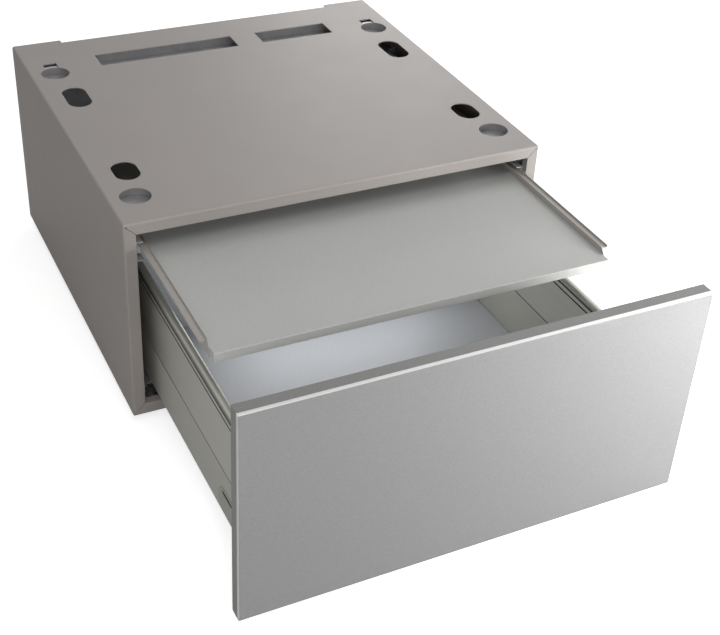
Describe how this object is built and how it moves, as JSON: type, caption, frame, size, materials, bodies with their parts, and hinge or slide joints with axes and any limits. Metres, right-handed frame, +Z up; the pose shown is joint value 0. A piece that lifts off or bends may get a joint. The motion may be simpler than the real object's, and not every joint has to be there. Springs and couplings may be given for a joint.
{
  "type": "washer pedestal drawer",
  "caption": "Low sheet steel pedestal for a washing machine, with a deep drawer on ball slides and a pull-out shelf above it, both standing half open.",
  "frame": {"origin": "on the floor, at the centre of the four levelling feet, which is the centre of the cabinet's footprint", "axes": "+Z up, -Y out of the front with the drawer and the shelf, +X to the right of someone who faces the front"},
  "size_m": [0.595, 0.947, 0.31],
  "materials": {
    "cabinet_paint": "satin powder coat, warm grey",
    "inner_steel": "galvanised sheet",
    "zinc": "zinc plated",
    "slide_steel": "zinc plated, lightly oiled",
    "front_silver": "satin silver",
    "front_edge": "satin grey",
    "drawer_paint": "satin powder coat, greenish grey",
    "side_aluminium": "satin powder coat, greenish grey",
    "floor_paint": "satin powder coat, cool grey",
    "cap_plastic": "moulded",
    "shelf_paint": "satin powder coat, light grey",
    "runner_paint": "epoxy coat, brownish grey",
    "rail_paint": "epoxy coat, light grey",
    "nylon": "moulded",
    "rubber": "moulded"
  },
  "bodies": {
    "cabinet": {"cabinet_wrapper": "cabinet_paint", "bottom_front_rail": "cabinet_paint", "bottom_side_rail_left": "inner_steel", "bottom_side_rail_right": "inner_steel", "bottom_rear_rail": "inner_steel", "back_panel": "inner_steel", "back_panel_screws": "zinc", "deck_brace_front": "inner_steel", "deck_brace_rear": "inner_steel", "washer_foot_cups": "inner_steel", "foot_plates": "zinc", "foot_lock_nuts": "zinc", "slide_bracket_left": "inner_steel", "slide_bracket_right": "inner_steel", "cabinet_member_left": "slide_steel", "cabinet_member_right": "slide_steel", "shelf_rail_left": "rail_paint", "shelf_rail_right": "rail_paint"},
    "drawer": {"front_skin": "front_silver", "front_pan": "front_edge", "front_stiffeners": "inner_steel", "front_bumpers": "rubber", "drawer_floor": "floor_paint", "drawer_back": "drawer_paint", "side_profile_left": "drawer_paint", "side_profile_right": "drawer_paint", "side_panel_left": "side_aluminium", "side_panel_right": "side_aluminium", "top_rail_left": "side_aluminium", "top_rail_right": "side_aluminium", "side_cap_left": "cap_plastic", "side_cap_right": "cap_plastic", "front_bracket_left": "inner_steel", "front_bracket_right": "inner_steel", "drawer_member_left": "slide_steel", "drawer_member_right": "slide_steel", "drawer_screws": "zinc"},
    "shelf": {"shelf_board": "shelf_paint", "shelf_runner_left": "runner_paint", "shelf_runner_right": "runner_paint", "shelf_screws": "zinc"},
    "middle_member_left": {"middle_member_left": "slide_steel"},
    "outer_cage_left": {"outer_cage_left": "slide_steel"},
    "inner_cage_left": {"inner_cage_left": "slide_steel"},
    "middle_member_right": {"middle_member_right": "slide_steel"},
    "outer_cage_right": {"outer_cage_right": "slide_steel"},
    "inner_cage_right": {"inner_cage_right": "slide_steel"},
    "cabinet_roller_left": {"cabinet_roller_left": "nylon"},
    "shelf_roller_left": {"shelf_roller_left": "nylon"},
    "cabinet_roller_right": {"cabinet_roller_right": "nylon"},
    "shelf_roller_right": {"shelf_roller_right": "nylon"},
    "levelling_foot_front_left": {"levelling_foot_front_left": "zinc"},
    "levelling_foot_front_right": {"levelling_foot_front_right": "zinc"},
    "levelling_foot_rear_left": {"levelling_foot_rear_left": "zinc"},
    "levelling_foot_rear_right": {"levelling_foot_rear_right": "zinc"}
  },
  "joints": [
    {"name": "drawer_slide", "type": "slide", "parent": "cabinet", "child": "drawer", "axis": [0, -1, 0], "range_m": [-0.363, 0.112]},
    {"name": "middle_member_left_slide", "type": "slide", "parent": "cabinet", "child": "middle_member_left", "axis": [0, -1, 0], "range_m": [-0.182, 0.0565]},
    {"name": "outer_cage_left_slide", "type": "slide", "parent": "cabinet", "child": "outer_cage_left", "axis": [0, -1, 0], "range_m": [-0.09125, 0.0285]},
    {"name": "inner_cage_left_slide", "type": "slide", "parent": "cabinet", "child": "inner_cage_left", "axis": [0, -1, 0], "range_m": [-0.27275, 0.0845]},
    {"name": "middle_member_right_slide", "type": "slide", "parent": "cabinet", "child": "middle_member_right", "axis": [0, -1, 0], "range_m": [-0.182, 0.0565]},
    {"name": "outer_cage_right_slide", "type": "slide", "parent": "cabinet", "child": "outer_cage_right", "axis": [0, -1, 0], "range_m": [-0.09125, 0.0285]},
    {"name": "inner_cage_right_slide", "type": "slide", "parent": "cabinet", "child": "inner_cage_right", "axis": [0, -1, 0], "range_m": [-0.27275, 0.0845]},
    {"name": "shelf_slide", "type": "slide", "parent": "cabinet", "child": "shelf", "axis": [0, -1, 0], "range_m": [-0.2325, 0.07208]},
    {"name": "cabinet_roller_left_spin", "type": "hinge", "parent": "cabinet", "child": "cabinet_roller_left", "pos_m": [-0.2715, -0.255, 0.2605], "axis": [1, 0, 0], "continuous": true},
    {"name": "shelf_roller_left_spin", "type": "hinge", "parent": "shelf", "child": "shelf_roller_left", "pos_m": [-0.2715, -0.043, 0.2625], "axis": [1, 0, 0], "continuous": true},
    {"name": "cabinet_roller_right_spin", "type": "hinge", "parent": "cabinet", "child": "cabinet_roller_right", "pos_m": [0.2715, -0.255, 0.2605], "axis": [1, 0, 0], "continuous": true},
    {"name": "shelf_roller_right_spin", "type": "hinge", "parent": "shelf", "child": "shelf_roller_right", "pos_m": [0.2715, -0.043, 0.2625], "axis": [1, 0, 0], "continuous": true},
    {"name": "levelling_foot_front_left_height", "type": "slide", "parent": "cabinet", "child": "levelling_foot_front_left", "axis": [0, 0, -1], "range_m": [0, 0.012]},
    {"name": "levelling_foot_front_right_height", "type": "slide", "parent": "cabinet", "child": "levelling_foot_front_right", "axis": [0, 0, -1], "range_m": [0, 0.012]},
    {"name": "levelling_foot_rear_left_height", "type": "slide", "parent": "cabinet", "child": "levelling_foot_rear_left", "axis": [0, 0, -1], "range_m": [0, 0.012]},
    {"name": "levelling_foot_rear_right_height", "type": "slide", "parent": "cabinet", "child": "levelling_foot_rear_right", "axis": [0, 0, -1], "range_m": [0, 0.012]}
  ],
  "couplings": [
    {"joint": "middle_member_left_slide", "follows": "drawer_slide", "ratio": 0.5},
    {"joint": "outer_cage_left_slide", "follows": "drawer_slide", "ratio": 0.25},
    {"joint": "inner_cage_left_slide", "follows": "drawer_slide", "ratio": 0.75},
    {"joint": "middle_member_right_slide", "follows": "drawer_slide", "ratio": 0.5},
    {"joint": "outer_cage_right_slide", "follows": "drawer_slide", "ratio": 0.25},
    {"joint": "inner_cage_right_slide", "follows": "drawer_slide", "ratio": 0.75},
    {"joint": "shelf_slide", "follows": "drawer_slide", "ratio": 0.63912},
    {"joint": "cabinet_roller_left_spin", "follows": "drawer_slide", "rad_per_m": 63.912},
    {"joint": "shelf_roller_left_spin", "follows": "drawer_slide", "rad_per_m": 53.26},
    {"joint": "cabinet_roller_right_spin", "follows": "drawer_slide", "rad_per_m": 63.912},
    {"joint": "shelf_roller_right_spin", "follows": "drawer_slide", "rad_per_m": 53.26}
  ]
}
